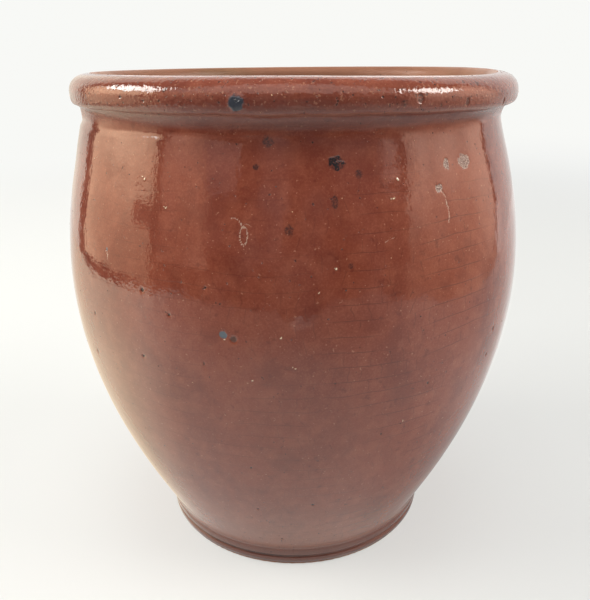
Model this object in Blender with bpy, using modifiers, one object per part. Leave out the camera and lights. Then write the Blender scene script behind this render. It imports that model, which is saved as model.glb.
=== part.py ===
"""Preserve crock: a wheel-thrown redware pot with a rolled rim and a tooled foot, glazed inside and out.

One outline is drawn in the plane of +X and +Z, in the order in which it is turned: up the inside, over the
crest of the rim, and down the outside. It is the finished surface, as callipers would meet it on the glaze.
The two coats of glaze lie just inside that outline, and the clay lies inside the coats.
The origin is on the table, under the middle of the pot. Lengths are in metres.
"""

import math

import bpy
from mathutils import Vector
from mathutils.geometry import interpolate_bezier

# Outside of the pot
CROCK_HEIGHT = 0.205
BELLY_RADIUS = 0.0977
BELLY_HEIGHT = 0.1235
NECK_RADIUS = 0.0860
WAIST_RADIUS = 0.0653
FOOT_TAPER = 0.0023

# How far each curve of the wall runs on before it bends away
NECK_RUN = 0.0057
BELLY_RUN_UP = 0.0348
BELLY_RUN_DOWN = 0.0569
WAIST_RUN = 0.0073
WAIST_FLARE = 0.0012

# Rolled rim: its crown rises from the widest line to the crest, and its lip turns in under to the neck
CROWN_HEIGHT = 0.0075
LIP_HEIGHT = 0.0045
HOLLOW_HEIGHT = 0.0049
CREST_SET_IN = 0.0036
ROLL_PROJECTION = 0.0044
LIP_OVERHANG = 0.0026
CREST_RADIUS = NECK_RADIUS - CREST_SET_IN
ROLL_RADIUS = NECK_RADIUS + ROLL_PROJECTION
WIDEST_HEIGHT = CROCK_HEIGHT - CROWN_HEIGHT
NECK_HEIGHT = WIDEST_HEIGHT - LIP_HEIGHT - HOLLOW_HEIGHT

# Tooled foot, from the waist down: a shallow cove, a band, a groove cut with the corner of a rib, and a lip
COVE_WIDTH = 0.0038
COVE_DEPTH = 0.0005
BAND_WIDTH = 0.0024
GROOVE_WIDTH = 0.0022
GROOVE_DEPTH = 0.0007
FOOT_LIP_WIDTH = 0.0024
BARE_FOOT = 0.0015
WAIST_HEIGHT = COVE_WIDTH + BAND_WIDTH + GROOVE_WIDTH + FOOT_LIP_WIDTH + BARE_FOOT

# Inside of the pot
WALL = 0.0072
FLOOR_HEIGHT = 0.0100
FLOOR_CORNER = 0.0240
FLOOR_RUN = 0.0160
MOUTH_DROP = 0.0060

# Coats of glaze, and the clearance between each coat and what it lies on or meets
COAT = 0.0004
CLEARANCE = 0.0003

# Underside, which was cut from the wheel with a wire and rose a little in the middle as it dried
FOOT_EDGE_ROUND = 0.0006
RESTING_RING = 0.0110
RING_SLOPE = 0.0060
BASE_RISE = 0.0012

# Facets
TURN_STEPS = 48
CROWN_STEPS = 5
LIP_STEPS = 3
HOLLOW_STEPS = 3
MOUTH_STEPS = 3
SHOULDER_STEPS = 5
SIDE_STEPS = 7
INSIDE_SHOULDER_STEPS = 4
INSIDE_SIDE_STEPS = 8
TOOL_MARK_STEPS = 4
MERGE_DISTANCE = 0.00001


def at(radius, height):
    """A point of an outline."""
    return Vector((radius, 0, height))


def ellipse(centre, half_width, half_height, start, end, steps):
    """Points on an arc of an ellipse. Angles are in degrees, from +X and up."""
    points = []
    for step in range(steps + 1):
        angle = math.radians(start + (end - start) * step / steps)
        points.append(centre + at(half_width * math.cos(angle), half_height * math.sin(angle)))
    return points


def sideways(outline, depth):
    """The outline moved into the wall by a depth, with each stretch kept parallel to itself."""
    across = []
    for before, after in zip(outline, outline[1:]):
        along = (after - before).normalized()
        across.append(at(along.z, -along.x))
    first, last = across[0], across[-1]
    moved = []
    for point, into, out_of in zip(outline, [first] + across, across + [last]):
        moved.append(point + (into + out_of) * depth / (1 + into.dot(out_of)))
    return moved


def foot_side(height):
    """A point on the plain side of the foot, which tapers from the waist to the table."""
    return at(WAIST_RADIUS - FOOT_TAPER * (1 - height / WAIST_HEIGHT), height)


def tool_mark(top, width, depth):
    """Points down across a rounded mark that was cut into the side of the foot."""
    points = []
    for step in range(TOOL_MARK_STEPS + 1):
        share = step / TOOL_MARK_STEPS
        points.append(foot_side(top - width * share) - at(depth * math.sin(math.pi * share), 0))
    return points


def rim_outside():
    """From the crest of the rim over the roll and in under it, down to the neck."""
    crest = CREST_RADIUS + CLEARANCE / 2
    under = ROLL_RADIUS - LIP_OVERHANG
    crown = ellipse(at(crest, WIDEST_HEIGHT), ROLL_RADIUS - crest, CROWN_HEIGHT, 90, 0, CROWN_STEPS)
    lip = ellipse(at(under, WIDEST_HEIGHT), LIP_OVERHANG, LIP_HEIGHT, 0, -90, LIP_STEPS)
    hollow = ellipse(at(under, NECK_HEIGHT), under - NECK_RADIUS, HOLLOW_HEIGHT, 90, 180, HOLLOW_STEPS)
    return crown + lip[1:] + hollow[1:]


def wall_outside():
    """From below the neck, round the belly and down to the waist."""
    neck = at(NECK_RADIUS, NECK_HEIGHT)
    belly = at(BELLY_RADIUS, BELLY_HEIGHT)
    waist = at(WAIST_RADIUS, WAIST_HEIGHT)
    shoulder = interpolate_bezier(
        neck, neck - at(0, NECK_RUN), belly + at(0, BELLY_RUN_UP), belly, SHOULDER_STEPS + 1)
    side = interpolate_bezier(
        belly, belly - at(0, BELLY_RUN_DOWN), waist + at(WAIST_FLARE, WAIST_RUN), waist, SIDE_STEPS + 1)
    return shoulder[1:] + side[1:]


def foot_outside():
    """From below the waist over the cove, the band, the groove and the lip, to where the glaze ends."""
    cove = tool_mark(WAIST_HEIGHT, COVE_WIDTH, COVE_DEPTH)
    groove = tool_mark(WAIST_HEIGHT - COVE_WIDTH - BAND_WIDTH, GROOVE_WIDTH, GROOVE_DEPTH)
    return cove[1:] + groove + [foot_side(BARE_FOOT)]


def inside():
    """From the middle of the floor, up the wall and over the mouth to the crest of the rim."""
    floor_edge = at(WAIST_RADIUS - FLOOR_CORNER, FLOOR_HEIGHT)
    belly = at(BELLY_RADIUS - WALL, BELLY_HEIGHT)
    neck = at(NECK_RADIUS - WALL, NECK_HEIGHT)
    side = interpolate_bezier(
        floor_edge, floor_edge + at(FLOOR_RUN, 0), belly - at(0, BELLY_RUN_DOWN), belly, INSIDE_SIDE_STEPS + 1)
    shoulder = interpolate_bezier(
        belly, belly + at(0, BELLY_RUN_UP), neck - at(0, NECK_RUN), neck, INSIDE_SHOULDER_STEPS + 1)
    crest = CREST_RADIUS - CLEARANCE / 2
    middle = at(crest, CROCK_HEIGHT - MOUTH_DROP)
    mouth = ellipse(middle, crest - neck.x, MOUTH_DROP, 180, 90, MOUTH_STEPS)
    return [at(0, FLOOR_HEIGHT)] + side + shoulder[1:] + mouth


def underside(edge):
    """From the edge of the foot, across the ring that it rests on, to the raised middle."""
    ring_outer = edge.x - FOOT_EDGE_ROUND
    ring_inner = ring_outer - RESTING_RING
    return [at(edge.x, FOOT_EDGE_ROUND), at(ring_outer, 0), at(ring_inner, 0),
            at(ring_inner - RING_SLOPE, BASE_RISE), at(0, BASE_RISE)]


def turn(name, outline, closed, collection, material):
    """Turn an outline about +Z into a solid."""
    mesh = bpy.data.meshes.new(name)
    edges = [(index, index + 1) for index in range(len(outline) - 1)]
    if closed:
        edges.append((len(outline) - 1, 0))
    mesh.from_pydata(outline, edges, [])
    mesh.materials.append(material)
    piece = bpy.data.objects.new(name, mesh)
    collection.objects.link(piece)

    lathe = piece.modifiers.new("Turned", "SCREW")
    lathe.axis = "Z"
    lathe.angle = math.tau
    lathe.screw_offset = 0
    lathe.steps = TURN_STEPS
    lathe.render_steps = TURN_STEPS
    lathe.use_merge_vertices = True
    lathe.merge_threshold = MERGE_DISTANCE
    lathe.use_smooth_shade = True
    return piece


def finish(name, colour, roughness):
    """A material with the look of one surface of the pot."""
    material = bpy.data.materials.new(name)
    material.use_nodes = True
    shader = material.node_tree.nodes["Principled BSDF"]
    shader.inputs["Base Color"].default_value = colour
    shader.inputs["Roughness"].default_value = roughness
    shader.inputs["Metallic"].default_value = 0
    material.diffuse_color = colour
    return material


for old in list(bpy.data.objects):
    bpy.data.objects.remove(old, do_unlink=True)

crock = bpy.data.collections.new("preserve_crock")
bpy.context.scene.collection.children.link(crock)

inner_face = inside()
outer_face = rim_outside() + wall_outside() + foot_outside()
clay_face = sideways(inner_face + outer_face, COAT + CLEARANCE)

fired_clay = finish("fired_clay", (0.42, 0.17, 0.09, 1), 0.85)
red_glaze = finish("red_glaze", (0.19, 0.05, 0.032, 1), 0.14)
liner_glaze = finish("liner_glaze", (0.30, 0.12, 0.06, 1), 0.2)

turn("crock_body", clay_face + underside(clay_face[-1]), False, crock, fired_clay)
turn("outer_glaze", outer_face + sideways(outer_face, COAT)[::-1], True, crock, red_glaze)
turn("inner_glaze", inner_face + sideways(inner_face, COAT)[::-1], False, crock, liner_glaze)
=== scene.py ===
import math
import random

import bmesh
import bpy
from mathutils import Matrix, Vector, noise
from mathutils.bvhtree import BVHTree
from mathutils.geometry import interpolate_bezier
from mathutils.kdtree import KDTree


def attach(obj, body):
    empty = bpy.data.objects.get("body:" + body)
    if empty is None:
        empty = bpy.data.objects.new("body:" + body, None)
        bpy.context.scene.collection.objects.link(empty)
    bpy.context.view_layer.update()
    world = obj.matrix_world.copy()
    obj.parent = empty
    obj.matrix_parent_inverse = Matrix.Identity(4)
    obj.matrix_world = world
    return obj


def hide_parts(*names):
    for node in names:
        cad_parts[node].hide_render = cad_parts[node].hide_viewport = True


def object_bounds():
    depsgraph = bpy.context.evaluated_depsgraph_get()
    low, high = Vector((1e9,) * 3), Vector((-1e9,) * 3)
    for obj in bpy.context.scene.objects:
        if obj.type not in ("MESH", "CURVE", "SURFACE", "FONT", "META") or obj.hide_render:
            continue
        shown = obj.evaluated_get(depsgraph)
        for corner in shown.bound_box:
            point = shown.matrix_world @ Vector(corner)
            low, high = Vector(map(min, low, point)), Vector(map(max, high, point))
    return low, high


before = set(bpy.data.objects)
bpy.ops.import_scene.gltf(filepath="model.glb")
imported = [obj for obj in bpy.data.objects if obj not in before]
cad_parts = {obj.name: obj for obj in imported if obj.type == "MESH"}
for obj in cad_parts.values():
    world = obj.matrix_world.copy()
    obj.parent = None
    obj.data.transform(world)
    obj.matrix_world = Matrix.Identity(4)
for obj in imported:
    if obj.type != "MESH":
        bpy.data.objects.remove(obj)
cad_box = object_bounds()

# Camera
# It stands in front of the pot and a little above it, where the photograph was taken from.
# It comes first because the marks on the glaze are placed along its lines of sight.
PHOTO_WIDTH = 590
PHOTO_HEIGHT = 600
CAMERA_PLACE = Vector((0.0006, -0.2837, 0.2101))
CAMERA_DIPS = math.radians(20.93)
CAMERA_LEANS = math.radians(-0.55)
LENS = 38.19
SENSOR = 36

camera = bpy.data.objects.new("camera", bpy.data.cameras.new("camera"))
bpy.context.scene.collection.objects.link(camera)
bpy.context.scene.camera = camera
camera.data.lens = LENS
camera.data.sensor_width = SENSOR
camera.data.clip_start = 0.01
camera.data.clip_end = 50
camera.matrix_world = (
    Matrix.Translation(CAMERA_PLACE)
    @ Matrix.Rotation(math.radians(90) - CAMERA_DIPS, 4, "X")
    @ Matrix.Rotation(CAMERA_LEANS, 4, "Z"))
bpy.context.view_layer.update()

# Thrown pot
# Red earthenware, thrown on the wheel in one piece: the rim rolled outwards and pressed down, the foot
# tooled with the corner of a rib, and the base cut off with a wire. The clay shows at and under the foot.
CROCK_HEIGHT = cad_box[1].z
BELLY_RADIUS = cad_box[1].x
BELLY_HEIGHT = 0.1235
NECK_RADIUS = 0.0861
WAIST_RADIUS = 0.0641
FOOT_TAPER = 0.0015
NECK_RUN = 0.0055
BELLY_RUN_UP = 0.0354
BELLY_RUN_DOWN = 0.0569
WAIST_RUN = 0.0067
WAIST_FLARE = 0.0008
CROWN_HEIGHT = 0.0065
LIP_HEIGHT = 0.0047
HOLLOW_HEIGHT = 0.0058
CREST_RADIUS = NECK_RADIUS - 0.0037
ROLL_RADIUS = NECK_RADIUS + 0.0045
LIP_OVERHANG = 0.0024
CROWN_RUN, CROWN_DROP, LIP_DROP, LIP_RUN = 0.0048, 0.0040, 0.0022, 0.0020
WIDEST_HEIGHT = CROCK_HEIGHT - CROWN_HEIGHT
LIP_FOOT = WIDEST_HEIGHT - LIP_HEIGHT
NECK_HEIGHT = LIP_FOOT - HOLLOW_HEIGHT
COVE_WIDTH = 0.0021
COVE_DEPTH = 0.0002
BAND_WIDTH = 0.0024
GROOVE_WIDTH = 0.0022
GROOVE_DEPTH = 0.0006
FOOT_LIP_WIDTH = 0.0024
BARE_FOOT = 0.0015
WAIST_HEIGHT = COVE_WIDTH + BAND_WIDTH + GROOVE_WIDTH + FOOT_LIP_WIDTH + BARE_FOOT
WALL = 0.0072
FLOOR_HEIGHT = 0.0100
FLOOR_CORNER = 0.0240
FLOOR_RUN = 0.0160
MOUTH_DROP = 0.0060
COAT = 0.0004
CLEARANCE = 0.0003
SEAM = 0.00002
FOOT_EDGE_ROUND = 0.0006
RESTING_RING = 0.0110
RING_SLOPE = 0.0060
BASE_RISE = 0.0012
CROWN_STEPS, LIP_STEPS, HOLLOW_STEPS, SHOULDER_STEPS, SIDE_STEPS, TOOL_MARK_STEPS = 14, 10, 12, 21, 26, 5
FLOOR_STEPS, INSIDE_SIDE_STEPS, INSIDE_SHOULDER_STEPS, MOUTH_STEPS, BASE_STEPS = 12, 38, 19, 8, 64


def at(radius, height):
    """A point of an outline."""
    return Vector((radius, 0, height))


def arc(centre, half_width, half_height, start, end, steps):
    """Points on an arc of an ellipse. Angles are in degrees, from +X and up."""
    angles = [math.radians(start + (end - start) * step / steps) for step in range(steps + 1)]
    return [centre + at(half_width * math.cos(angle), half_height * math.sin(angle)) for angle in angles]


def sideways(outline, depth):
    """The outline moved into the wall by a depth, with each stretch kept parallel to itself."""
    across = []
    for before, after in zip(outline, outline[1:]):
        along = (after - before).normalized()
        across.append(at(along.z, -along.x))
    moved = []
    for point, into, out_of in zip(outline, across[:1] + across, across + across[-1:]):
        moved.append(point + (into + out_of) * depth / (1 + into.dot(out_of)))
    return moved


def foot_side(height):
    """A point on the plain side of the foot, which tapers from the waist to the table."""
    return at(WAIST_RADIUS - FOOT_TAPER * (1 - height / WAIST_HEIGHT), height)


def tool_mark(top, width, depth, steps):
    """Points down across a rounded mark that was cut into the side of the foot."""
    points = []
    for step in range(steps + 1):
        share = step / steps
        points.append(foot_side(top - width * share) - at(depth * math.sin(math.pi * share) ** 2, 0))
    return points


def outside(fine):
    """From the crest of the rim over the roll, round the belly and down to where the glaze ends."""
    crest = CREST_RADIUS + SEAM / 2
    under = ROLL_RADIUS - LIP_OVERHANG
    neck = at(NECK_RADIUS, NECK_HEIGHT)
    belly = at(BELLY_RADIUS, BELLY_HEIGHT)
    waist = at(WAIST_RADIUS, WAIST_HEIGHT)
    top, widest, lip_foot = at(crest, CROCK_HEIGHT), at(ROLL_RADIUS, WIDEST_HEIGHT), at(under, LIP_FOOT)
    crown = interpolate_bezier(
        top, top + at(CROWN_RUN, 0), widest + at(0, CROWN_DROP), widest, CROWN_STEPS * fine)
    lip = interpolate_bezier(
        widest, widest - at(0, LIP_DROP), lip_foot + at(LIP_RUN, 0), lip_foot, LIP_STEPS * fine)
    hollow = arc(at(under, NECK_HEIGHT), under - NECK_RADIUS, HOLLOW_HEIGHT, 90, 180, HOLLOW_STEPS * fine)
    shoulder = interpolate_bezier(
        neck, neck - at(0, NECK_RUN), belly + at(0, BELLY_RUN_UP), belly, SHOULDER_STEPS * fine)
    side = interpolate_bezier(
        belly, belly - at(0, BELLY_RUN_DOWN), waist + at(WAIST_FLARE, WAIST_RUN), waist, SIDE_STEPS * fine)
    cove = tool_mark(WAIST_HEIGHT, COVE_WIDTH, COVE_DEPTH, TOOL_MARK_STEPS * fine)
    groove_top = WAIST_HEIGHT - COVE_WIDTH - BAND_WIDTH
    groove = tool_mark(groove_top, GROOVE_WIDTH, GROOVE_DEPTH, TOOL_MARK_STEPS * fine)
    foot_lip = [foot_side(groove[-1].z + (BARE_FOOT - groove[-1].z) * share) for share in (0.5, 1)]
    return crown + lip[1:] + hollow[1:] + shoulder[1:] + side[1:] + cove[1:] + groove + foot_lip


def inside(fine):
    """From the middle of the floor, up the wall and over the mouth to the crest of the rim."""
    floor_edge = at(WAIST_RADIUS - FLOOR_CORNER, FLOOR_HEIGHT)
    belly = at(BELLY_RADIUS - WALL, BELLY_HEIGHT)
    neck = at(NECK_RADIUS - WALL, NECK_HEIGHT)
    steps = FLOOR_STEPS * fine
    floor = [at(0, FLOOR_HEIGHT).lerp(floor_edge, step / steps) for step in range(steps)]
    side = interpolate_bezier(
        floor_edge, floor_edge + at(FLOOR_RUN, 0), belly - at(0, BELLY_RUN_DOWN), belly,
        INSIDE_SIDE_STEPS * fine)
    shoulder = interpolate_bezier(
        belly, belly + at(0, BELLY_RUN_UP), neck - at(0, NECK_RUN), neck, INSIDE_SHOULDER_STEPS * fine)
    crest = CREST_RADIUS - SEAM / 2
    middle = at(crest, CROCK_HEIGHT - MOUTH_DROP)
    mouth = arc(middle, crest - neck.x, MOUTH_DROP, 180, 90, MOUTH_STEPS * fine)
    return floor + side + shoulder[1:] + mouth[1:]


def underside(edge):
    """From the edge of the foot, across the ring that it rests on, to the raised middle."""
    ring_outer = edge.x - FOOT_EDGE_ROUND
    ring_inner = ring_outer - RESTING_RING
    edge_round = arc(at(ring_outer, FOOT_EDGE_ROUND), FOOT_EDGE_ROUND, FOOT_EDGE_ROUND, 0, -90, 5)
    base = []
    for step in range(1, BASE_STEPS + 1):
        radius = ring_outer * (1 - step / BASE_STEPS)
        share = min(1, max(0, (ring_inner - radius) / RING_SLOPE))
        base.append(at(radius, BASE_RISE * share * share * (3 - 2 * share)))
    return edge_round + base


def add(tree, kind, sockets=None, **settings):
    """Add a node. Each socket is given a plain value, or another node's output to be linked to it."""
    made = tree.nodes.new(kind)
    for name, value in settings.items():
        setattr(made, name, value)
    for key, value in (sockets or {}).items():
        if isinstance(value, bpy.types.NodeSocket):
            tree.links.new(value, made.inputs[key])
        else:
            made.inputs[key].default_value = value
    return made


def reckon(tree, operation, *values):
    """The answer of a Math node."""
    return add(tree, "ShaderNodeMath", dict(enumerate(values)), operation=operation).outputs[0]


def product(tree, first, second):
    """One value times another."""
    return reckon(tree, "MULTIPLY", first, second)


def total(tree, first, second):
    """One value added to another."""
    return reckon(tree, "ADD", first, second)


def ramp(tree, value, low, high, to_low=0.0, to_high=1.0):
    """A value led smoothly from one range to another, and held at its ends."""
    sockets = {"Value": value, "From Min": low, "From Max": high, "To Min": to_low, "To Max": to_high}
    return add(tree, "ShaderNodeMapRange", sockets, interpolation_type="SMOOTHSTEP").outputs["Result"]


def band(tree, value, rises, falls):
    """A share that rises over one range of a value and falls over another."""
    return product(tree, ramp(tree, value, *rises), ramp(tree, value, *falls))


def apart(tree, place):
    """The X, Y and Z of a place."""
    return add(tree, "ShaderNodeSeparateXYZ", {0: place}).outputs


def kept(tree, name):
    """A value that the points of a mesh keep."""
    return add(tree, "GeometryNodeInputNamedAttribute", {"Name": name}).outputs[0]


def from_point(tree, place, point):
    """How far a place is from a point."""
    return add(tree, "ShaderNodeVectorMath", {0: place, 1: point}, operation="DISTANCE").outputs["Value"]


def clouds(tree, place, scale, detail=2.0, seed=0.0, distortion=0.0):
    """Soft noise from 0 to 1, with about so many clouds to a metre."""
    sockets = {"Vector": place, "W": seed, "Scale": scale, "Detail": detail, "Distortion": distortion}
    return add(tree, "ShaderNodeTexNoise", sockets, noise_dimensions="4D").outputs[0]


def new_tree(name, given, made):
    """A tree that is given sockets, by name and kind, and makes one piece. Also its input and its places."""
    tree = bpy.data.node_groups.new(name, "GeometryNodeTree")
    for socket, kind in given.items():
        tree.interface.new_socket(socket, in_out="INPUT", socket_type="NodeSocket" + kind)
    tree.interface.new_socket(made, in_out="OUTPUT", socket_type="NodeSocketGeometry")
    return tree, add(tree, "NodeGroupInput").outputs, add(tree, "GeometryNodeInputPosition").outputs[0]


def end_tree(tree, made, piece, material):
    """The end of a tree, where its piece is made real and smooth and gets its material."""
    piece = add(tree, "GeometryNodeRealizeInstances", {"Geometry": piece}).outputs[0]
    piece = add(tree, "GeometryNodeSetShadeSmooth", {"Geometry": piece}).outputs[0]
    piece = add(tree, "GeometryNodeSetMaterial", {"Geometry": piece, "Material": material}).outputs[0]
    add(tree, "NodeGroupOutput", {made: piece})
    return tree


def wheel_tree():
    """A tree that turns an outline round +Z, then gives it the small faults of a pot thrown by hand."""
    faults = ("Out of Round", "Dents", "Rim Wave", "Rim Dip", "Rim Aside", "Foot Aside", "Lip Wave", "Crease",
              "Ridge", "Rings", "Ring Pitch", "Ripple", "Wire Cut", "Seed")
    tree, given, place = new_tree("potters_wheel", {
        "Outline": "Geometry", "Steps Around": "Int", **dict.fromkeys(faults, "Float"),
        "Material": "Material"}, "Pot")
    seed = given["Seed"]

    rows = add(tree, "GeometryNodeAttributeDomainSize", {"Geometry": given["Outline"]}).outputs["Point Count"]
    last_row = reckon(tree, "SUBTRACT", rows, 1)
    columns = total(tree, given["Steps Around"], 1)
    sheet = add(tree, "GeometryNodeMeshGrid", {
        "Size X": 1, "Size Y": 1, "Vertices X": columns, "Vertices Y": rows}).outputs["Mesh"]
    spot = apart(tree, place)
    row = reckon(tree, "ROUND", product(tree, total(tree, spot["Y"], 0.5), last_row))
    angle = product(tree, reckon(tree, "SUBTRACT", 0.5, spot["X"]), math.tau)
    point = add(tree, "GeometryNodeSampleIndex", {
        "Geometry": given["Outline"], "Value": place, "Index": row}, data_type="FLOAT_VECTOR").outputs[0]
    for name in ("relief", "wire_cut"):
        value = kept(tree, name)
        value = add(tree, "GeometryNodeSampleIndex", {
            "Geometry": given["Outline"], "Value": value, "Index": row}).outputs[0]
        sheet = add(tree, "GeometryNodeStoreNamedAttribute", {
            "Geometry": sheet, "Name": name, "Value": value}).outputs[0]
    outline = apart(tree, point)
    turned = add(tree, "ShaderNodeCombineXYZ", {
        "X": product(tree, outline["X"], reckon(tree, "COSINE", angle)),
        "Y": product(tree, outline["X"], reckon(tree, "SINE", angle)),
        "Z": outline["Z"]}).outputs[0]
    pot = add(tree, "GeometryNodeSetPosition", {"Geometry": sheet, "Position": turned}).outputs[0]
    pot = add(tree, "GeometryNodeMergeByDistance", {"Geometry": pot, "Distance": MERGE_DISTANCE}).outputs[0]

    height = spot["Z"]
    radius = add(tree, "ShaderNodeVectorMath", {
        0: add(tree, "ShaderNodeCombineXYZ", {"X": spot["X"], "Y": spot["Y"]}).outputs[0]},
        operation="LENGTH").outputs["Value"]
    big = clouds(tree, place, 7, 0, seed)
    small = clouds(tree, place, 24, 1, seed)
    inwards = total(tree, product(tree, big, given["Out of Round"]),
                    product(tree, small, given["Dents"]))
    inwards = product(tree, inwards, ramp(tree, radius, 0, FLOOR_CORNER))
    shrink = reckon(tree, "DIVIDE", inwards, reckon(tree, "MAXIMUM", radius, FLOOR_CORNER))
    from_dip = from_point(tree, place, RIM_DIPS_AT)
    drop = total(tree, product(tree, clouds(tree, place, 11, 1, seed), given["Rim Wave"]),
                 product(tree, ramp(tree, from_dip, ROLL_RADIUS, 0), given["Rim Dip"]))
    lift = product(tree, drop, ramp(tree, height, NECK_HEIGHT, WIDEST_HEIGHT, 0, -1))
    lift = product(tree, lift, ramp(tree, height, WIDEST_HEIGHT, CROCK_HEIGHT, 1, CREST_DIPS))
    aside = total(tree, product(tree, ramp(tree, height, NECK_HEIGHT, WIDEST_HEIGHT), given["Rim Aside"]),
                  product(tree, ramp(tree, height, BELLY_HEIGHT, 0), given["Foot Aside"]))
    at_lip = band(tree, height, (NECK_HEIGHT, LIP_FOOT), (WIDEST_HEIGHT, LIP_FOOT))
    at_lip = product(tree, at_lip, ramp(tree, radius, NECK_RADIUS - CLEARANCE, ROLL_RADIUS - LIP_OVERHANG))
    pressed = reckon(tree, "SUBTRACT", clouds(tree, place, 60, 2, seed), 0.5)
    pressed = product(tree, product(tree, pressed, given["Lip Wave"]), at_lip)
    moved = add(tree, "ShaderNodeCombineXYZ", {
        "X": reckon(tree, "SUBTRACT", aside, product(tree, spot["X"], shrink)),
        "Y": product(tree, product(tree, spot["Y"], shrink), -1),
        "Z": total(tree, lift, pressed)}).outputs[0]
    pot = add(tree, "GeometryNodeSetPosition", {"Geometry": pot, "Offset": moved}).outputs[0]

    seen = kept(tree, "relief")
    turns = product(tree, reckon(tree, "DIVIDE", total(tree, radius, height), given["Ring Pitch"]),
                    math.tau)
    turns = total(tree, turns, reckon(tree, "ARCTAN2", spot["Y"], spot["X"]))
    rings = reckon(tree, "MULTIPLY_ADD", reckon(tree, "SINE", turns), 0.5, 0.5)
    rings = product(tree, rings, clouds(tree, place, 30, 1, seed))
    sunk = total(tree, product(tree, rings, given["Rings"]),
                 product(tree, clouds(tree, place, 85, 1, seed), given["Ripple"]))
    ridge = band(tree, height, (RIDGE_HEIGHT + RIDGE_RUN, RIDGE_HEIGHT),
                 (RIDGE_HEIGHT - RIDGE_TAIL, RIDGE_HEIGHT))
    ridge = product(tree, ridge, given["Ridge"])
    ridge = product(tree, ridge, ramp(tree, spot["X"], *RIDGE_ENDS, 1, 0))
    ridge = product(tree, ridge, ramp(tree, spot["X"], *RIDGE_GROWS))
    creased = reckon(tree, "MULTIPLY_ADD", clouds(tree, place, 70, 2, seed), CREASE_WAVE, height)
    from_crease = reckon(tree, "ABSOLUTE", reckon(tree, "SUBTRACT", creased, CREASE_HEIGHT))
    crease = product(tree, ramp(tree, from_crease, CREASE_RUN, 0), given["Crease"])
    crease = product(tree, crease, ramp(tree, clouds(tree, place, 45, 1, seed), 0.42, 0.6))
    crease = product(tree, crease, ramp(tree, radius, NECK_RADIUS - CLEARANCE, NECK_RADIUS + CLEARANCE))
    crease = product(tree, crease, ramp(tree, reckon(tree, "ABSOLUTE", spot["X"]), 0.025, 0.065))
    sunk = total(tree, reckon(tree, "SUBTRACT", sunk, ridge), crease)
    sunk = product(tree, product(tree, sunk, seen), -1)
    into_wall = add(tree, "ShaderNodeVectorMath", {
        0: add(tree, "GeometryNodeInputNormal").outputs[0], "Scale": sunk}, operation="SCALE").outputs[0]
    pot = add(tree, "GeometryNodeSetPosition", {"Geometry": pot, "Offset": into_wall}).outputs[0]

    cut = kept(tree, "wire_cut")
    away = from_point(tree, place, WIRE_PULLED_TO)
    arcs = total(tree, product(tree, away, math.tau / WIRE_PITCH),
                 product(tree, clouds(tree, place, 40, 2, seed), math.tau))
    arcs = reckon(tree, "MULTIPLY_ADD", reckon(tree, "SINE", arcs), 0.5, 0.5)
    arcs = product(tree, product(tree, arcs, given["Wire Cut"]), cut)
    raised = add(tree, "ShaderNodeCombineXYZ", {"Z": arcs}).outputs[0]
    pot = add(tree, "GeometryNodeSetPosition", {"Geometry": pot, "Offset": raised}).outputs[0]

    return end_tree(tree, "Pot", pot, given["Material"])


def grown(name, mesh, tree, **inputs):
    """A new object with the plain mesh that a tree makes of a mesh. Spaces in inputs are underscores."""
    source = bpy.data.objects.new(name + "_source", mesh)
    bpy.context.scene.collection.objects.link(source)
    modifier = source.modifiers.new(name, "NODES")
    modifier.node_group = tree
    for socket in tree.interface.items_tree:
        if socket.in_out == "INPUT" and socket.name.replace(" ", "_") in inputs:
            modifier[socket.identifier] = inputs[socket.name.replace(" ", "_")]
    made = bpy.data.meshes.new_from_object(source.evaluated_get(bpy.context.evaluated_depsgraph_get()))
    source.modifiers.remove(modifier)
    bpy.data.objects.remove(source)
    piece = bpy.data.objects.new(name, made)
    made.name = name
    bpy.context.scene.collection.objects.link(piece)
    return piece


def thrown(name, stretches, steps_around, material, rings, ripple, ridge=0.0, crease=0.0):
    """A turned piece. Each stretch of its outline has its points and how far it takes relief and cuts."""
    points, relief, wire_cut = [], [], []
    for outline, rough, cut in stretches:
        points += outline
        relief += [rough] * len(outline)
        wire_cut += [cut] * len(outline)
    mesh = bpy.data.meshes.new(name + "_outline")
    mesh.from_pydata(points, [(index, index + 1) for index in range(len(points) - 1)], [])
    mesh.attributes.new("relief", "FLOAT", "POINT").data.foreach_set("value", relief)
    mesh.attributes.new("wire_cut", "FLOAT", "POINT").data.foreach_set("value", wire_cut)
    return grown(name, mesh, WHEEL, Steps_Around=steps_around, Out_of_Round=0.0002, Dents=0.00012,
                 Rim_Wave=0.00015, Rim_Dip=0.0019, Rim_Aside=0.0010, Foot_Aside=-0.0001, Lip_Wave=0.0011,
                 Crease=crease, Ridge=ridge, Rings=rings, Ring_Pitch=0.0068, Ripple=ripple, Wire_Cut=0.00016,
                 Seed=3.0, Material=material)


def finish(name, roughness, ior):
    """An empty material with its shader, and a place on the piece to paint by."""
    material = bpy.data.materials.new(name)
    material.use_nodes = True
    tree = material.node_tree
    shader = tree.nodes["Principled BSDF"]
    shader.inputs["Roughness"].default_value = roughness
    shader.inputs["IOR"].default_value = ior
    return material, tree, shader, add(tree, "ShaderNodeTexCoord").outputs["Object"]


def tint(tree, share, first, second):
    """One colour that gives way to another by a share from 0 to 1."""
    mixed = add(tree, "ShaderNodeMix", data_type="RGBA")
    for socket, value in zip((mixed.inputs[0], mixed.inputs[6], mixed.inputs[7]), (share, first, second)):
        if isinstance(value, bpy.types.NodeSocket):
            tree.links.new(value, socket)
        else:
            socket.default_value = value
    return mixed.outputs[2]


def roughen(tree, shader, height):
    """Bump a surface by a height in metres."""
    bump = add(tree, "ShaderNodeBump", {"Height": height, "Distance": 1.0, "Strength": 1.0})
    tree.links.new(bump.outputs[0], shader.inputs["Normal"])


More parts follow.
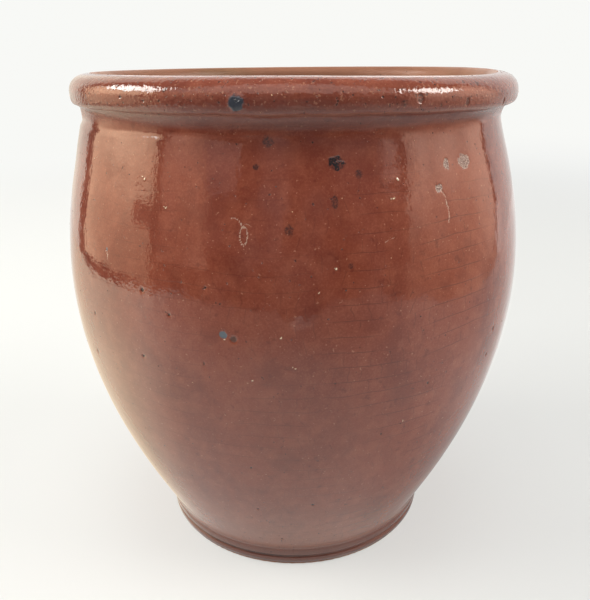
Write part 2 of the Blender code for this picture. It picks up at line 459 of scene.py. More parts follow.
MERGE_DISTANCE = 0.000001
WIRE_PULLED_TO = (0.11, -0.05, 0)
WIRE_PITCH = 0.0026
RIM_DIPS_AT = (0.070, -0.056, CROCK_HEIGHT)
CREST_DIPS = 0.65
RIDGE_HEIGHT, RIDGE_RUN, RIDGE_TAIL = 0.1850, 0.0032, 0.0170
RIDGE_ENDS, RIDGE_GROWS = (-0.045, -0.018), (-0.060, -0.082, 1, 1.8)
CREASE_HEIGHT, CREASE_RUN, CREASE_WAVE = LIP_FOOT - 0.0006, 0.0007, 0.0016
WHEEL = wheel_tree()

fired_clay, tree, shader, place = finish("fired_red_clay", 0.85, 1.5)
mottle = clouds(tree, place, 45, 4)
clay_colour = tint(tree, mottle, (0.36, 0.145, 0.075, 1), (0.50, 0.235, 0.125, 1))
grit = ramp(tree, clouds(tree, place, 1400, 2, 5), 0.62, 0.72, 0, 0.6)
clay_colour = tint(tree, grit, clay_colour, (0.16, 0.06, 0.04, 1))
grime = ramp(tree, clouds(tree, place, 90, 5, 8), 0.48, 0.75, 0, 0.55)
clay_colour = tint(tree, grime, clay_colour, (0.11, 0.065, 0.045, 1))
tree.links.new(clay_colour, shader.inputs["Base Color"])
clay_height = product(tree, clouds(tree, place, 900, 3, 2), 0.00012)
roughen(tree, shader, clay_height)

clay_face = sideways(inside(1) + outside(1), COAT + CLEARANCE)
thrown_pot = thrown("thrown_pot", [
    (clay_face, 0, 0), (underside(clay_face[-1]), 0, 1)], 240, fired_clay, 0, 0)
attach(thrown_pot, "root")
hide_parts("crock_body")

# Glaze inside
# A thin coat of clear lead glaze over a pale wash, poured in, swilled round and poured out, so that it pools
# in the throwing rings and runs. It ends on the crest of the rim, against the outer coat.
liner_glaze, tree, shader, place = finish("liner_glaze", 0.14, 1.6)
streaky = add(tree, "ShaderNodeMapping", {"Vector": place, "Scale": (1, 1, 0.22)}).outputs[0]
liner = tint(tree, clouds(tree, place, 16, 3, 1), (0.23, 0.095, 0.056, 1), (0.33, 0.165, 0.098, 1))
runs = ramp(tree, clouds(tree, streaky, 55, 3, 4), 0.45, 0.72, 0, 0.55)
liner = tint(tree, runs, liner, (0.15, 0.056, 0.033, 1))
olive = ramp(tree, clouds(tree, place, 24, 2, 9), 0.55, 0.7, 0, 0.45)
liner = tint(tree, olive, liner, (0.24, 0.15, 0.078, 1))
pinholes = ramp(tree, clouds(tree, place, 620, 1, 6), 0.735, 0.77)
liner = tint(tree, pinholes, liner, (0.09, 0.04, 0.025, 1))
tree.links.new(liner, shader.inputs["Base Color"])
shader.inputs["Specular IOR Level"].default_value = 0.2
tree.links.new(ramp(tree, clouds(tree, place, 60, 3, 7), 0.3, 0.8, 0.34, 0.5), shader.inputs["Roughness"])
liner_height = product(tree, clouds(tree, place, 320, 2, 3), 0.00006)
roughen(tree, shader, reckon(tree, "MULTIPLY_ADD", pinholes, -0.00012, liner_height))

inner_face = inside(2)
inner_back = sideways(inside(1), COAT)[::-1]
inner_coat = thrown("inner_coat", [
    (inner_face, 1, 0), (inner_back, 0, 0)], 320, liner_glaze, 0.00012, 0.00005)
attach(inner_coat, "root")
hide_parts("inner_glaze")

# Glaze outside
# A glossy coat of lead glaze over iron-red clay, from the crest of the rim down to the lip of the foot.
# The clay burns its colour through it, with iron spots, pinholes, fine crazing and the chips of long use.
red_glaze, tree, shader, place = finish("red_glaze", 0.06, 1.6)
spot = apart(tree, place)
on_rim = ramp(tree, spot["Z"], NECK_HEIGHT + HOLLOW_HEIGHT / 2, LIP_FOOT)
streaky = add(tree, "ShaderNodeMapping", {"Vector": place, "Scale": (1, 1, 0.3)}).outputs[0]
grain = clouds(tree, place, 1500, 2, 9)
freckles = reckon(tree, "MULTIPLY_ADD", on_rim, 0.06, clouds(tree, place, 980, 1, 12))
pinholes = reckon(tree, "MULTIPLY_ADD", on_rim, 0.05, clouds(tree, place, 700, 1, 15))
pinholes = ramp(tree, pinholes, 0.725, 0.755)
# Painted shade under the roll of the rim, a painted shadow of the rim below the neck, and at the foot thick
# pooled glaze with painted shade.
shade_under_rim = band(tree, spot["Z"], (NECK_HEIGHT, NECK_HEIGHT + HOLLOW_HEIGHT / 2),
                 (WIDEST_HEIGHT + CROWN_DROP / 2, WIDEST_HEIGHT - LIP_DROP / 2, 0, 0.29))
pool_and_shade_at_foot = ramp(tree, spot["Z"], WAIST_HEIGHT + WAIST_RUN / 3, WAIST_HEIGHT - COVE_WIDTH, 0, 0.6)
shadow_below_neck = band(tree, spot["Z"], (NECK_HEIGHT - 0.014, NECK_HEIGHT - 0.003),
                  (NECK_HEIGHT, NECK_HEIGHT - 0.003, 0, 0.15))
pools_and_painted_shade = total(tree, total(tree, shade_under_rim, pool_and_shade_at_foot), shadow_below_neck)
GROOVE_HEIGHT = BARE_FOOT + FOOT_LIP_WIDTH + GROOVE_WIDTH / 2
from_groove = reckon(tree, "ABSOLUTE", reckon(tree, "SUBTRACT", spot["Z"], GROOVE_HEIGHT))
# Painted shade in the groove of the foot, strongest at the left.
shade_in_groove = product(tree, ramp(tree, from_groove, GROOVE_WIDTH / 2, 0, 0, 0.8),
                    ramp(tree, spot["X"], 0.02, -0.015, 0.35, 1))
from_lip = reckon(tree, "ABSOLUTE", reckon(tree, "SUBTRACT", spot["Z"], LIP_FOOT))
# Painted light: lighter and warmer low on the left side.
lit_low_left = product(tree, ramp(tree, spot["X"], -0.02, -0.065, 0, 0.2), ramp(tree, spot["Z"], 0.13, 0.10))
on_crest = ramp(tree, spot["Z"], WIDEST_HEIGHT, WIDEST_HEIGHT + CROWN_HEIGHT / 2, 0, 0.2)

# The colour of the glaze, then each layer over it with its share and its own colour
glaze = tint(tree, clouds(tree, place, 14, 3, 1), (0.225, 0.052, 0.030, 1), (0.30, 0.078, 0.043, 1))
LAYERS = {
    "dark veil": (ramp(tree, clouds(tree, streaky, 42, 4, 4), 0.42, 0.68, 0, 0.5), (0.165, 0.032, 0.020, 1)),
    "mottle": (ramp(tree, clouds(tree, place, 190, 4, 6), 0.42, 0.7, 0, 0.4), (0.35, 0.108, 0.062, 1)),
    "blots": (ramp(tree, clouds(tree, place, 300, 3, 51), 0.60, 0.72, 0, 0.5), (0.13, 0.026, 0.017, 1)),
    "light grain": (ramp(tree, grain, 0.5, 0.68, 0, 0.2), (0.40, 0.15, 0.09, 1)),
    "dark grain": (ramp(tree, grain, 0.5, 0.32, 0, 0.2), (0.13, 0.026, 0.017, 1)),
    "patches": (ramp(tree, clouds(tree, place, 75, 4, 61), 0.5, 0.66, 0, 0.35), (0.14, 0.028, 0.018, 1)),
    # Painted light: the glaze lighter low down towards the foot
    "painted light low down": (ramp(tree, spot["Z"], 0.055, WAIST_HEIGHT, 0, 0.4), (0.42, 0.17, 0.09, 1)),
    "freckles": (ramp(tree, freckles, 0.68, 0.76, 0, 0.6), (0.50, 0.24, 0.15, 1)),
    # Painted shade under the rim and below the neck, and pooled glaze with painted shade at the foot
    "painted shade and pools": (pools_and_painted_shade, (0.100, 0.039, 0.039, 1)),
    # Painted shade in the groove
    "painted shade in the groove": (shade_in_groove, (0.050, 0.024, 0.020, 1)),
    # Painted highlight: a pale line round the lower edge of the lip
    "painted highlight under the lip": (ramp(tree, from_lip, 0.0009, 0, 0, 0.45), (0.44, 0.22, 0.17, 1)),
    # Painted light, lighter and warmer low at the left
    "painted light low at the left": (lit_low_left, (0.42, 0.25, 0.15, 1)),
    "brown crest": (on_crest, (0.12, 0.050, 0.036, 1)),
    "pinholes": (product(tree, pinholes, 0.8), (0.06, 0.02, 0.016, 1)),
}
for share, colour in LAYERS.values():
    glaze = tint(tree, share, glaze, colour)

# Crazing: long cracks round the pot, with short ones across from one to the next
CRACK_ROWS, CRACKS_ROUND, CRACK_WIDTH = 0.0056, 116 / math.tau, 0.042
rows = reckon(tree, "DIVIDE", spot["Z"], CRACK_ROWS)
rows = reckon(tree, "MULTIPLY_ADD", clouds(tree, place, 24, 3, 30), 1.3, rows)
round_pot = product(tree, reckon(tree, "ARCTAN2", spot["X"], product(tree, spot["Y"], -1)),
                    CRACKS_ROUND)
round_pot = reckon(tree, "MULTIPLY_ADD", clouds(tree, place, 60, 3, 33), 2.6, round_pot)
round_pot = reckon(tree, "MULTIPLY_ADD", reckon(tree, "FLOOR", rows), 0.37, round_pot)
long_cracks = product(tree, ramp(tree, reckon(tree, "PINGPONG", rows, 0.5), CRACK_WIDTH, 0),
                      ramp(tree, clouds(tree, place, 34, 1, 36), 0.40, 0.56))
short_cracks = product(tree, ramp(tree, reckon(tree, "PINGPONG", round_pot, 0.5), CRACK_WIDTH, 0),
                       ramp(tree, clouds(tree, place, 90, 1, 39), 0.46, 0.6))
crazing = reckon(tree, "MAXIMUM", long_cracks, product(tree, short_cracks, 0.7))
crazing = product(tree, crazing, ramp(tree, spot["X"], -0.06, 0.05, 0.35, 1))
crazing = product(tree, crazing, ramp(tree, spot["Z"], NECK_HEIGHT, BELLY_HEIGHT + BELLY_RUN_UP))
glaze = tint(tree, product(tree, crazing, 0.7), glaze, (0.085, 0.024, 0.018, 1))

# The finishes of the marks, each with its colour and how ragged its edge is
# The pale finish is both the pale heart of a chip and the painted glints; slate is both grey chips and the
# painted highlights on the blister.
FINISHES = {
    "iron": ((0.026, 0.022, 0.024, 1), 0.8), "bare": ((0.13, 0.050, 0.036, 1), 0.9),
    "pit": ((0.045, 0.018, 0.014, 1), 0.4), "pale": ((0.92, 0.78, 0.55, 1), 0.3),
    "scuff": ((0.43, 0.32, 0.26, 1), 1.7), "scratch": ((0.50, 0.33, 0.25, 1), 0.5),
    "slate": ((0.13, 0.16, 0.19, 1), 0.3), "navy": ((0.050, 0.056, 0.074, 1), 0.2),
}
SCUFF_DIRT = (0.12, 0.050, 0.042, 1)
ragged = reckon(tree, "SUBTRACT", clouds(tree, place, 1500, 3, 21), 0.5)
painted = {}
for finish_name, (colour, raggedness) in FINISHES.items():
    share = add(tree, "ShaderNodeAttribute", attribute_name=finish_name).outputs["Fac"]
    edge = reckon(tree, "MULTIPLY_ADD", ragged, raggedness, share)
    painted[finish_name] = product(tree, ramp(tree, edge, 0.3, 0.9), ramp(tree, share, 0.0, 0.3))
    if finish_name == "iron":
        brushed = ramp(tree, clouds(tree, place, 1700, 1, 45), 0.34, 0.46, 0.35, 1)
        painted[finish_name] = product(tree, painted[finish_name], brushed)
    if finish_name == "scuff":
        colour = tint(tree, ramp(tree, clouds(tree, place, 2500, 1, 42), 0.45, 0.55), SCUFF_DIRT, colour)
    glaze = tint(tree, painted[finish_name], glaze, colour)
tree.links.new(glaze, shader.inputs["Base Color"])

wear = reckon(tree, "MAXIMUM", reckon(tree, "MAXIMUM", painted["scuff"], painted["scratch"]), painted["bare"])
smooth = ramp(tree, clouds(tree, place, 70, 3, 24), 0.35, 0.8, 0.04, 0.11)
in_hollow = band(tree, spot["Z"], (NECK_HEIGHT - CLEARANCE, NECK_HEIGHT + HOLLOW_HEIGHT / 2),
                 (WIDEST_HEIGHT, LIP_FOOT))
smooth = reckon(tree, "MULTIPLY_ADD", in_hollow, 0.22, smooth)
smooth = reckon(tree, "MULTIPLY_ADD", on_rim, 0.02, smooth)
tree.links.new(reckon(tree, "MULTIPLY_ADD", wear, 0.5, smooth), shader.inputs["Roughness"])
LUMPS, PEEL, RIM_PEEL, RIM_LUMPS = 0.000100, 0.000026, 0.00009, 0.00013
peel = product(tree, clouds(tree, place, 950, 1, 27), reckon(tree, "MULTIPLY_ADD", on_rim, RIM_PEEL, PEEL))
ripple = reckon(tree, "MULTIPLY_ADD", clouds(tree, place, 250, 3, 28), LUMPS, peel)
rim_lumps = product(tree, clouds(tree, place, 420, 2, 29), product(tree, on_rim, RIM_LUMPS))
ripple = total(tree, ripple, rim_lumps)
ripple = reckon(tree, "MULTIPLY_ADD", pinholes, -0.00010, ripple)
ripple = reckon(tree, "MULTIPLY_ADD", crazing, -0.000014, ripple)
ripple = reckon(tree, "MULTIPLY_ADD", product(tree, wear, ragged), -0.00022, ripple)
roughen(tree, shader, ripple)

outer_face = outside(2)
outer_back = sideways(outside(1), COAT)[::-2]
outer_coat = thrown("outer_coat", [
    (outer_face, 1, 0), (outer_back, 0, 0), (outer_face[:1], 1, 0)], 290, red_glaze, 0.00003, 0.00012,
    ridge=0.00042, crease=0.0003)

SIGHT = BVHTree.FromPolygons([vertex.co for vertex in outer_coat.data.vertices],
                             [face.vertices for face in outer_coat.data.polygons])


def sighted(pixel):
    """Where the sight through a pixel of the photograph meets the outer coat, and the way that it faces."""
    across = (pixel[0] - PHOTO_WIDTH / 2) * SENSOR / PHOTO_HEIGHT
    up = (PHOTO_HEIGHT / 2 - pixel[1]) * SENSOR / PHOTO_HEIGHT
    sight = camera.matrix_world.to_3x3() @ Vector((across, up, -LENS))
    return SIGHT.ray_cast(camera.matrix_world.translation, sight)[:2]


def round_the_back(azimuth, height):
    """The same for a place out of the photograph's sight, by its azimuth in degrees and its height."""
    outwards = Vector((math.sin(math.radians(azimuth)), -math.cos(math.radians(azimuth)), 0))
    return SIGHT.ray_cast(outwards + Vector((0, 0, height)), -outwards)[:2]


# Each mark has its pixel in the photograph, then in millimetres its half width and half height, and how far
# it stands out or, below zero, is sunk in
MM = 0.001
GLINT_SPREAD = 1.1
IRON_SPOTS = {
    "iron blotch": ((333, 162), 2.0, 1.8, 0.05),
    "arm of the blotch": ((340, 163), 1.9, 0.8, 0.03),
    "foot of the blotch": ((337, 168), 1.1, 1.1, 0.03),
    "head of the blotch": ((338, 157), 0.9, 0.7, 0.03),
}
BLISTERS = {"blister on the rim": ((235.5, 103), 2.9, 2.9, 0.30)}
FAINT_SPOTS = {
    "spot under the rim": ((268, 142), 2.3, 2.2, 0.02),
    "spot on the rim at the right": ((405, 103), 1.7, 1.4, 0.02),
    "halo of the blotch": ((336, 163), 3.6, 2.9, 0.0),
    "small spot under it": ((256, 167), 1.4, 1.4, 0.0),
    "faint spot at the middle": ((289, 231), 1.8, 2.3, 0.0),
    "spot beside the blotch": ((359, 174), 1.6, 1.9, 0.0),
    "smear below the blotch": ((335, 202), 1.5, 3.2, 0.0),
    "speck at the right": ((351, 266), 1.2, 1.2, 0.0),
    "far spot on the rim": ((477, 83), 1.4, 1.3, 0.02),
}
PITS = {
    "pit by the left window": ((142, 290), 0.8, 0.9, -0.32),
    "pit in its ring": ((205, 288), 0.5, 0.5, -0.2),
    "slanting pit": ((98, 351), 0.7, 1.2, -0.3),
    "pit above it": ((95, 313), 0.6, 0.8, -0.25),
    "low left pit": ((143.5, 356), 0.7, 0.7, -0.3),
    "small left pit": ((169, 315), 0.5, 0.6, -0.25),
    "pit below the chip": ((204, 364), 0.5, 0.5, -0.2),
    "right edge pit": ((493, 328), 0.7, 1.2, -0.3),
    "lower right edge pit": ((486, 354), 0.6, 0.9, -0.25),
    "right pit": ((428, 383), 0.5, 0.5, -0.2),
    "low right pit": ((381, 434), 0.5, 0.5, -0.2),
    "middle pit": ((335, 384), 0.45, 0.45, -0.2),
    "pit near the foot": ((313, 505), 0.8, 0.6, -0.25),
    "second pit near the foot": ((258, 509), 0.6, 0.6, -0.25),
    "third pit near the foot": ((282, 539), 0.6, 0.5, -0.25),
    "faint pit near the foot": ((251, 468), 0.5, 0.5, -0.2),
    "crack in the rim": ((504, 101), 0.45, 1.6, -0.35),
    "pit in the rim": ((383, 97), 0.45, 0.4, -0.2),
    "second pit in the rim": ((120, 97), 0.5, 0.5, -0.25),
    "third pit in the rim": ((143, 101), 0.45, 0.45, -0.2),
}
CHIPS = {
    "chip in the rim": ((421, 98.5), 1.3, 1.6, -0.34),
    "crescent chip in the rim": ((468, 102), 0.9, 1.5, -0.30),
    "brown pit": ((233.5, 339.5), 1.4, 1.3, -0.30),
}
SCUFFS = {
    "scuff at the right": ((446, 164), 1.6, 2.2, -0.10),
    "broad scuff at the right": ((464, 161), 3.9, 3.0, -0.12),
    "scuff below them": ((439, 188), 1.9, 1.6, -0.10),
}
SLATE_CHIPS = {
    "grey chip": ((223, 335), 1.6, 1.5, -0.12), "grey speck": ((107, 249), 0.6, 0.8, 0.02),
}
# Painted highlight: lighter slate crescents on the dark blister.
CRESCENTS = {
    "crescent on the blister": ((238.5, 102.5), 0.8, 1.6, 0.05),
    "foot of the crescent": ((237, 106), 1.3, 0.7, 0.02),
}
# Painted glints: near-white pale dots, each on a small dome, in place of sparkles of light on the glaze.
GLINTS = {
    "left glint": ((96, 158), 0.45, 0.45, 0.08),
    "twin glints": ((144, 178), 0.5, 0.6, 0.08),
    "glint by the gap": ((164, 207), 0.6, 0.4, 0.08),
    "glint by the right window": ((398, 180), 0.5, 0.6, 0.10),
    "lower glint there": ((393, 198), 0.45, 0.5, 0.08),
    "low glint": ((254, 381), 0.5, 0.35, 0.06),
    "glint in the middle": ((292, 369), 0.5, 0.4, 0.06),
    "glint above it": ((281, 338), 0.5, 0.4, 0.06),
    "right low glint": ((402, 421), 0.4, 0.4, 0.06),
    "glint in the dark": ((335, 269), 0.55, 0.5, 0.08),
    "second glint there": ((318, 293), 0.4, 0.4, 0.06),
    "glint on the chip": ((225, 340), 0.4, 0.35, 0.05),
}
PALE_HEARTS = {"heart of the grey chip": ((222.5, 334.5), 0.8, 0.7, 0.02)}
FAINT = 0.62
marks = []
dice = random.Random(11)
for finish_name, strength, spots in (
        ("navy", 1, BLISTERS), ("iron", 1, IRON_SPOTS), ("iron", FAINT, FAINT_SPOTS), ("pit", 1, PITS),
        ("bare", 1, CHIPS), ("scuff", 1, SCUFFS), ("slate", 1, SLATE_CHIPS), ("slate", FAINT, CRESCENTS),
        ("pale", FAINT, PALE_HEARTS)):
    for pixel, across, down, stands_out in spots.values():
        marks.append((finish_name, strength, sighted(pixel), across * MM, down * MM, stands_out * MM))
# Each painted glint is sown as three smaller pale dots round its pixel.
for pixel, across, down, stands_out in GLINTS.values():
    for share in (0.75, 0.6, 0.5):
        near_it = (dice.gauss(pixel[0], GLINT_SPREAD), dice.gauss(pixel[1], GLINT_SPREAD))
        marks.append(("pale", 0.9, sighted(near_it), across * share * MM, down * share * MM, stands_out * MM))

# A scratch is a row of small scuffs along a line of pixels, with its half width and how plainly it shows
SCRATCH_PIXELS, SCRATCH_DEPTH, SHAKE = 0.5, -0.04 * MM, 0.3
LOOP_CENTRE, LOOP_ACROSS, LOOP_DOWN, LOOP_STEPS = (243.5, 236), 3.8, 9.8, 16
loop_turns = [math.tau * step / LOOP_STEPS for step in range(LOOP_STEPS + 1)]
SCRATCHES = {
    "loop": ([(LOOP_CENTRE[0] + LOOP_ACROSS * math.sin(turn), LOOP_CENTRE[1] - LOOP_DOWN * math.cos(turn))
              for turn in loop_turns], 0.23, 0.8),
    "tail of the loop": ([(231, 218.5), (235, 218), (238, 220), (241, 224), (244, 229)], 0.24, 0.8),
    "stroke across the loop": ([(243, 225), (247, 224), (252, 227)], 0.22, 0.6),
    "curve below the scuff": (
        [(441, 190), (445, 195), (447, 203), (448.5, 209), (449.5, 215), (449, 223)], 0.27, 0.75),
    "slanting stroke": ([(385, 243), (388, 240.5), (391, 239), (395, 237)], 0.22, 0.6),
    "stroke below the speck": ([(106, 250), (107.5, 255), (107, 260)], 0.28, 0.75),
    "low stroke at the right": ([(467, 401), (461, 407), (454, 414), (445, 424)], 0.30, 0.45),
}
for pixels, width, strength in SCRATCHES.values():
    for before, after in zip(pixels, pixels[1:]):
        steps = max(1, round(math.dist(before, after) / SCRATCH_PIXELS))
        for step in range(steps):
            share = step / steps
            pixel = [dice.gauss(start + (end - start) * share, SHAKE) for start, end in zip(before, after)]
            marks.append(("scratch", strength, sighted(pixel), width * MM, width * MM, SCRATCH_DEPTH))

# The sides and the back have marks of the same kinds, at random
# Among them, the pale marks are painted glints.
UNSEEN_MARKS = {"iron": (12, 1.0, 0.02), "pit": (34, 0.6, -0.25), "bare": (7, 1.3, -0.3),
                "pale": (20, 0.45, 0.07), "scuff": (5, 1.8, -0.08)}
for finish_name, (count, size, stands_out) in UNSEEN_MARKS.items():
    for _ in range(count):
        spot = round_the_back(dice.uniform(80, 280), dice.uniform(0.02, 0.2))
        across = size * dice.uniform(0.6, 1.5) * MM
        marks.append((finish_name, 1, spot, across, across * dice.uniform(0.8, 1.4), stands_out * MM))

skin = bmesh.new()
skin.from_mesh(outer_coat.data)

# The skin is cut finer round each mark, twice over, then raised or sunk there and painted with the finish
for times, margin, cuts in ((1.5, 1.2 * MM, 2), (1.2, 0.3 * MM, 1)):
    skin.faces.ensure_lookup_table()
    skin.edges.index_update()
    near = KDTree(len(skin.faces))
    for face in skin.faces:
        near.insert(face.calc_center_median(), face.index)
    near.balance()
    close = {index for _, _, (place, facing), across, down, _ in marks
             for _, index, _ in near.find_range(place, max(across, down) * times + margin)
             if skin.faces[index].normal.dot(facing) > 0.5}
    close_edges = {edge for index in close for edge in skin.faces[index].edges}
    bmesh.ops.subdivide_edges(skin, edges=sorted(close_edges, key=lambda edge: edge.index), cuts=cuts,
                              use_grid_fill=True)
    skin.faces.index_update()
    skin.normal_update()
skin.verts.ensure_lookup_table()
layers = {finish_name: skin.verts.layers.float.new(finish_name) for finish_name in FINISHES}
near = KDTree(len(skin.verts))
for index, vertex in enumerate(skin.verts):
    near.insert(vertex.co, index)
near.balance()
skin.normal_update()
RAGGED_LUMPS, RAGGED_REACH = 900, 0.18
for finish_name, strength, (place, facing), across, down, stands_out in marks:
    aside = Vector((0, 0, 1)).cross(facing).normalized()
    upwards = facing.cross(aside)
    for _, index, _ in near.find_range(place, max(across, down) * 1.5):
        vertex = skin.verts[index]
        if vertex.normal.dot(facing) < 0.3:
            continue
        offset = vertex.co - place
        reach = math.hypot(offset.dot(aside) / across, offset.dot(upwards) / down)
        reach += RAGGED_REACH * noise.noise(vertex.co * RAGGED_LUMPS)
        share = min(1, max(0, (1.15 - reach) / 0.6))
        share = share * share * (3 - 2 * share)
        vertex.co += facing * stands_out * share
        vertex[layers[finish_name]] = max(vertex[layers[finish_name]], strength * share)
skin.to_mesh(outer_coat.data)
skin.free()
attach(outer_coat, "root")
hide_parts("outer_glaze")

# Grains and iron specks
# Sand in the clay and grit in the glaze, fused into the outer coat as it was fired: pale grains that catch
# the light, thickest on the rim, and small dark specks of iron.


def sown_tree():
    """A tree that sows small flattened grains over the seen side of a coat."""
    tree, given, place = new_tree("sown_grains", {
        "Coat": "Geometry", "Grains per Metre": "Float", "More at the Rim": "Float", "Grain Size": "Float",
        "Flatness": "Float", "Seed": "Int", "Material": "Material"}, "Grains")
    seen = kept(tree, "relief")
    height = apart(tree, place)["Z"]
    on_rim = ramp(tree, height, NECK_HEIGHT, LIP_FOOT)
    patchy = ramp(tree, clouds(tree, place, 30, 2, 5), 0.35, 0.65, 0.25, 1)
    thickly = product(tree, reckon(tree, "MULTIPLY_ADD", on_rim, given["More at the Rim"], 1), patchy)
    thickly = product(tree, product(tree, thickly, given["Grains per Metre"]),
                      reckon(tree, "GREATER_THAN", seen, 0.99))
    sown = add(tree, "GeometryNodeDistributePointsOnFaces", {
        "Mesh": given["Coat"], "Density": thickly, "Seed": given["Seed"]}).outputs
    size = add(tree, "FunctionNodeRandomValue", {
        "Min": 0.35, "Max": 1.0, "Seed": given["Seed"]}, data_type="FLOAT")
    size = product(tree, next(out for out in size.outputs if out.enabled), given["Grain Size"])
    shape = add(tree, "ShaderNodeCombineXYZ", {
        "X": size, "Y": size, "Z": product(tree, size, given["Flatness"])}).outputs[0]
    grain = add(tree, "GeometryNodeMeshIcoSphere", {"Radius": 1, "Subdivisions": 1}).outputs["Mesh"]
    grains = add(tree, "GeometryNodeInstanceOnPoints", {
        "Points": sown["Points"], "Instance": grain, "Rotation": sown["Rotation"], "Scale": shape}).outputs[0]
    return end_tree(tree, "Grains", grains, given["Material"])


SOWN = sown_tree()
sand, tree, shader, place = finish("fused_sand", 0.18, 1.55)
shade = ramp(tree, clouds(tree, place, 300, 1, 2), 0.4, 0.6)
tree.links.new(tint(tree, shade, (0.40, 0.17, 0.10, 1), (0.66, 0.42, 0.25, 1)), shader.inputs["Base Color"])
ironstone, tree, shader, place = finish("iron_speck", 0.25, 1.6)
shade = ramp(tree, clouds(tree, place, 300, 1, 2), 0.4, 0.6)
speck = tint(tree, shade, (0.03, 0.014, 0.012, 1), (0.09, 0.028, 0.018, 1))
tree.links.new(speck, shader.inputs["Base Color"])
for name, material, density, at_rim, size, flatness, seed in (
        ("sand_grains", sand, 1700, 9.0, 0.00025, 0.30, 7),
        ("iron_specks", ironstone, 3600, 2.5, 0.00034, 0.22, 23)):
    grains = grown(name, outer_coat.data.copy(), SOWN, Grains_per_Metre=density, More_at_the_Rim=at_rim,
                   Grain_Size=size, Flatness=flatness, Seed=seed, Material=material)
    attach(grains, "root")

# Table and room
# A pale table under the pot, whose ragged front edge shows in the glaze, and a white sweep beyond it. The
# room is made of cards of light all round, which only the glaze mirrors.
WHITE = (0.94, 0.945, 0.92, 1)
TABLE_COLOUR = (0.77, 0.785, 0.765, 1)
TABLE_BOUNCE = (0.45, 0.44, 0.42, 1)
TABLE_FADES = (0.40, 1.3)
TABLE_GLOW = 0.55


def stage_piece(name, points, faces, material, **hidden):
    """A piece of the stage, which isn't part of the pot."""
    mesh = bpy.data.meshes.new(name)
    mesh.from_pydata(points, [], faces)
    mesh.materials.append(material)
    piece = bpy.data.objects.new(name, mesh)
    bpy.context.scene.collection.objects.link(piece)
    for flag, value in hidden.items():
        setattr(piece, flag, value)
    return piece


# The table's colour is painted shade: darker to the right, on the far floor too, and a little darker at the
# left. Where the glaze mirrors it, it gets more painted shade, warm painted light at the left, and painted
# pools of light that glow at the left and behind at the right.
pale_top, tree, shader, place = finish("pale_table", 0.7, 1.45)
spot = apart(tree, place)
across_table = spot["X"]
bearing = reckon(tree, "ARCTAN2", across_table, product(tree, spot["Y"], -1))
# Painted shade: the table and the far floor darker to the right, and the table a little darker at the left.
shade_to_the_right = ramp(tree, across_table, -0.06, 0.15)
pale = tint(tree, shade_to_the_right, TABLE_COLOUR, (0.61, 0.63, 0.615, 1))
pale = tint(tree, ramp(tree, across_table, -0.03, -0.20), pale, (0.67, 0.69, 0.675, 1))
away = add(tree, "ShaderNodeVectorMath", {0: place}, operation="LENGTH").outputs["Value"]
far = ramp(tree, away, *TABLE_FADES, TABLE_GLOW, 1)
shaded = product(tree, shade_to_the_right, ramp(tree, away, 0.25, 1.8, 1, 0))
ray = add(tree, "ShaderNodeLightPath").outputs
mirrored = reckon(tree, "MAXIMUM", ray["Is Glossy Ray"], ray["Is Transmission Ray"])
seen_white = reckon(tree, "MAXIMUM", ray["Is Camera Ray"], mirrored)
# Painted shade on the table where the glaze mirrors it: in front, behind, at the left and by the foot.
in_front = band(tree, bearing, (-0.9, -0.45), (0.45, 1.0, 1, 0.2))
at_the_left = band(tree, bearing, (-0.45, -0.9), (-1.25, -0.95))
behind = band(tree, bearing, (1.0, 1.4, 0, 0.2), (1.6, 2.0, 1, 0))
unlit = product(tree, ramp(tree, away, 0.15, 0.46), reckon(tree, "MULTIPLY_ADD", in_front, 0.6, behind))
unlit = reckon(tree, "MULTIPLY_ADD", product(tree, at_the_left, 0.4), ramp(tree, away, 0.28, 0.58), unlit)
by_the_foot = product(tree, ramp(tree, bearing, 0.3, 1.0, 0, 0.4), ramp(tree, away, 0.20, 0.08))
unlit = product(tree, total(tree, unlit, by_the_foot), mirrored)
# Warm painted light on the table at the left, and painted pools of light that make it glow brighter there and
# behind at the right, where the glaze mirrors it.
warm_painted_light = band(tree, bearing, (-0.7, -1.6), (-2.6, -2.1))
warm_painted_light = product(tree, warm_painted_light, mirrored)
painted_light_pool = band(tree, bearing, (-0.8, -1.25, 0, 1.25), (-2.3, -1.5, 0.15, 1))
painted_light_pool = product(tree, painted_light_pool, ramp(tree, away, 0.08, 0.24, 0.25, 1))
painted_light_pool = product(tree, total(tree, painted_light_pool, ramp(tree, bearing, 1.95, 2.25, 0, 0.5)), mirrored)
pale = tint(tree, warm_painted_light, pale, (0.80, 0.72, 0.56, 1))
pale = tint(tree, unlit, pale, (0, 0, 0, 1))
beyond = tint(tree, shaded, WHITE, (0.80, 0.81, 0.81, 1))
glow = add(tree, "ShaderNodeEmission", {
    "Color": tint(tree, warm_painted_light, beyond, (0.97, 0.88, 0.68, 1)),
    "Strength": total(tree, reckon(tree, "SUBTRACT", 1, unlit), painted_light_pool)}).outputs[0]
tree.links.new(tint(tree, seen_white, TABLE_BOUNCE, pale), shader.inputs["Base Color"])
faded = add(tree, "ShaderNodeMixShader", {
    0: product(tree, far, seen_white), 1: shader.outputs[0], 2: glow}).outputs[0]
tree.links.new(faded, tree.nodes["Material Output"].inputs["Surface"])

